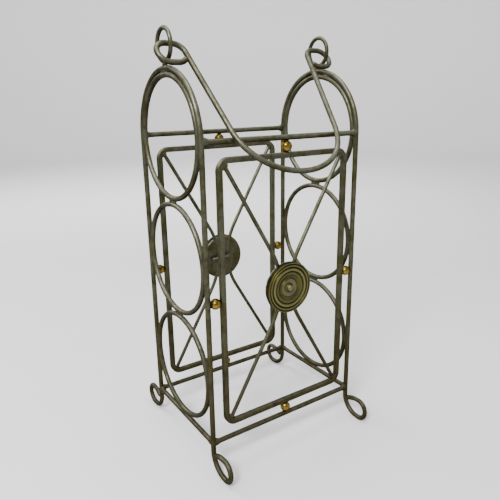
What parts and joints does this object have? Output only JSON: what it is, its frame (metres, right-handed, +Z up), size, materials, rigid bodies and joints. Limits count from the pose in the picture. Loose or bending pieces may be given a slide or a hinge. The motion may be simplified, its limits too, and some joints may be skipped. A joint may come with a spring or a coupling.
{
  "type": "newspaper rack",
  "caption": "Free-standing wire newspaper rack: hooped end walls with stacked ovals, framed panels with medallions, curled feet and a swinging carrying bail.",
  "frame": {"origin": "on the floor, under the middle of the rack, with the bail leaning on the front top rod", "axes": "+X to the right along the rack, +Y from the front (the side the bail leans on) to the back, +Z up"},
  "size_m": [0.2318, 0.221, 0.4816],
  "materials": {
    "painted_iron": "aged olive-grey paint, dark in the corners, worn pale on the tops of the rods",
    "cast_medallions": "olive-gold bronzed paint over turned castings, dark in the grooves",
    "brass_balls": "old polished brass, dulled round the welds"
  },
  "bodies": {
    "rack_frame": {"left_hoop": "painted_iron", "left_upper_oval": "painted_iron", "left_middle_oval": "painted_iron", "left_lower_oval": "painted_iron", "left_cross_rod": "painted_iron", "left_ring": "painted_iron", "right_hoop": "painted_iron", "right_upper_oval": "painted_iron", "right_middle_oval": "painted_iron", "right_lower_oval": "painted_iron", "right_cross_rod": "painted_iron", "right_ring": "painted_iron", "front_top_rod": "painted_iron", "front_bottom_rod": "painted_iron", "front_panel_frame": "painted_iron", "front_left_bent_bar": "painted_iron", "front_right_bent_bar": "painted_iron", "front_tie_bar": "painted_iron", "front_medallion": "cast_medallions", "front_top_ball": "brass_balls", "front_bottom_ball": "brass_balls", "front_left_ball": "brass_balls", "front_right_ball": "brass_balls", "back_top_rod": "painted_iron", "back_bottom_rod": "painted_iron", "back_panel_frame": "painted_iron", "back_left_bent_bar": "painted_iron", "back_right_bent_bar": "painted_iron", "back_tie_bar": "painted_iron", "back_medallion": "cast_medallions", "back_top_ball": "brass_balls", "back_bottom_ball": "brass_balls", "back_left_ball": "brass_balls", "back_right_ball": "brass_balls"},
    "bail_handle": {"bail": "painted_iron"}
  },
  "joints": [
    {"name": "bail_swing", "type": "hinge", "parent": "rack_frame", "child": "bail_handle", "pos_m": [0, 0, 0.4633], "axis": [-1, 0, 0], "range_deg": [0, 279.35]}
  ]
}
